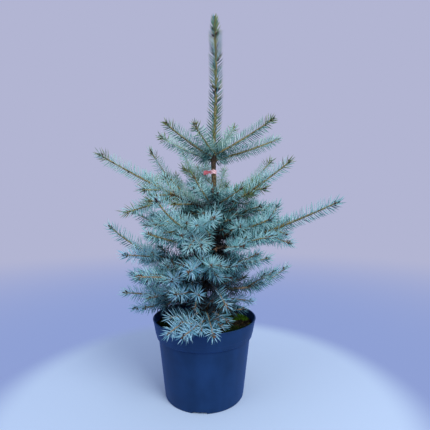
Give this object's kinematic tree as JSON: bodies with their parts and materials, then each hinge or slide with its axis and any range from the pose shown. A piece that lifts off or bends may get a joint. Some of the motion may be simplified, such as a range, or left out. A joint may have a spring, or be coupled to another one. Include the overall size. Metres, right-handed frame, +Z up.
{
  "type": "potted blue spruce",
  "caption": "Young blue spruce with a slightly crooked trunk, whorls of needled limbs and a tall leader, growing in a round tapered nursery pot.",
  "frame": {"origin": "on the pot's axis, at the flat underside that the pot stands on", "axes": "+Z up along the pot's axis; -Y towards the plant's front as seen in the picture; +X to its right"},
  "size_m": [0.5723, 0.4542, 0.9635],
  "materials": {
    "pot_plastic": "satin",
    "soil_and_moss": "matte",
    "bark": "matte",
    "needles": "matte",
    "tie_tape": "satin"
  },
  "bodies": {
    "root": {"bough_lower_back_left": "bark", "bough_lower_right": "bark", "bough_lower_right_front": "bark", "bough_lowest_front": "bark", "bough_middle_back": "bark", "bough_middle_front": "bark", "bough_middle_left": "bark", "bough_middle_left_front": "bark", "bough_middle_right": "bark", "bough_second_front": "bark", "bough_second_left": "bark", "bough_upper_back": "bark", "bough_upper_back_left": "bark", "bough_upper_left": "bark", "bough_upper_right": "bark", "needles_leader": "needles", "needles_lower_back": "needles", "needles_lower_back_left": "needles", "needles_lower_back_right": "needles", "needles_lower_front": "needles", "needles_lower_front_left": "needles", "needles_lower_left": "needles", "needles_lower_left_front": "needles", "needles_lower_right": "needles", "needles_lower_right_front": "needles", "needles_lowest_back": "needles", "needles_lowest_front": "needles", "needles_lowest_left": "needles", "needles_lowest_right": "needles", "needles_lowest_right_front": "needles", "needles_middle_back": "needles", "needles_middle_back_left": "needles", "needles_middle_back_right": "needles", "needles_middle_front": "needles", "needles_middle_front_left": "needles", "needles_middle_left": "needles", "needles_middle_left_front": "needles", "needles_middle_right": "needles", "needles_middle_right_front": "needles", "needles_second_front": "needles", "needles_second_left": "needles", "needles_second_right": "needles", "needles_top_back": "needles", "needles_top_back_left": "needles", "needles_top_front": "needles", "needles_top_left": "needles", "needles_top_low_right": "needles", "needles_top_right": "needles", "needles_upper_back": "needles", "needles_upper_back_left": "needles", "needles_upper_back_right": "needles", "needles_upper_front": "needles", "needles_upper_front_right": "needles", "needles_upper_left": "needles", "needles_upper_rear": "needles", "needles_upper_right": "needles", "pot": "pot_plastic", "soil": "soil_and_moss", "tie": "tie_tape", "trunk": "bark"}
  },
  "joints": []
}
